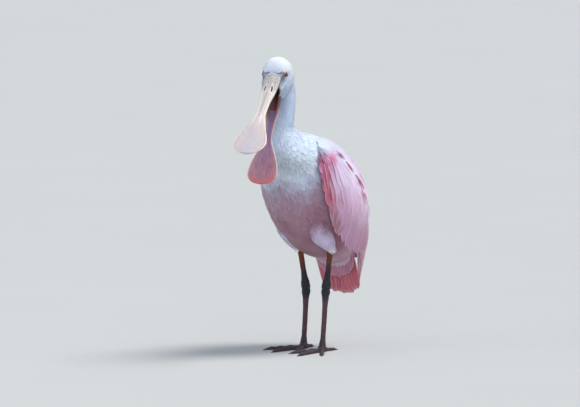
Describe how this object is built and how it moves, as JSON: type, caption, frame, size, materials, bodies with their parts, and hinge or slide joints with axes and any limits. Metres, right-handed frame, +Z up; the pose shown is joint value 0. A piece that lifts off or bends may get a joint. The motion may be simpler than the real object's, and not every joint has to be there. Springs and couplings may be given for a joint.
{
  "type": "roseate spoonbill",
  "caption": "Life-size still model of a standing young roseate spoonbill with its wings folded and its long spoon-tipped bill held wide open.",
  "frame": {"origin": "centre of the bounding box's underside, on the floor between and ahead of the feet", "axes": "+Z up, the body faces -Y and the bird's left side is +X"},
  "size_m": [0.172, 0.355, 0.5083],
  "materials": {
    "body_feathers": "soft overlapping feathers, pale lilac pink with rose patches",
    "neck_feathers": "short white feathers with a blue-grey shade",
    "wing_feathers": "long silky feathers, pale pink with carmine streaks",
    "tail_feathers": "stiff rose feathers with pale edges",
    "bill_upper": "smooth horn, pinkish cream, rough grey-brown at the base",
    "bill_lower": "smooth horn, mauve and dusky rose inside with a pale rim",
    "eye": "wet amber iris round a black pupil",
    "tibia_skin": "small dull scales, orange brown above and near black at the ankle",
    "leg_skin": "dull scales, dark maroon grey"
  },
  "bodies": {
    "root": {"torso": "body_feathers", "neck_lower": "neck_feathers", "neck_upper": "neck_feathers", "head": "neck_feathers", "bill_upper": "bill_upper", "bill_lower": "bill_lower", "eye_left": "eye", "eye_right": "eye", "wing_left": "wing_feathers", "wing_right": "wing_feathers", "tail": "tail_feathers", "thigh_left": "body_feathers", "thigh_right": "body_feathers", "shank_left": "tibia_skin", "shank_right": "tibia_skin", "tarsus_left": "leg_skin", "tarsus_right": "leg_skin", "foot_left": "leg_skin", "foot_right": "leg_skin"}
  },
  "joints": []
}
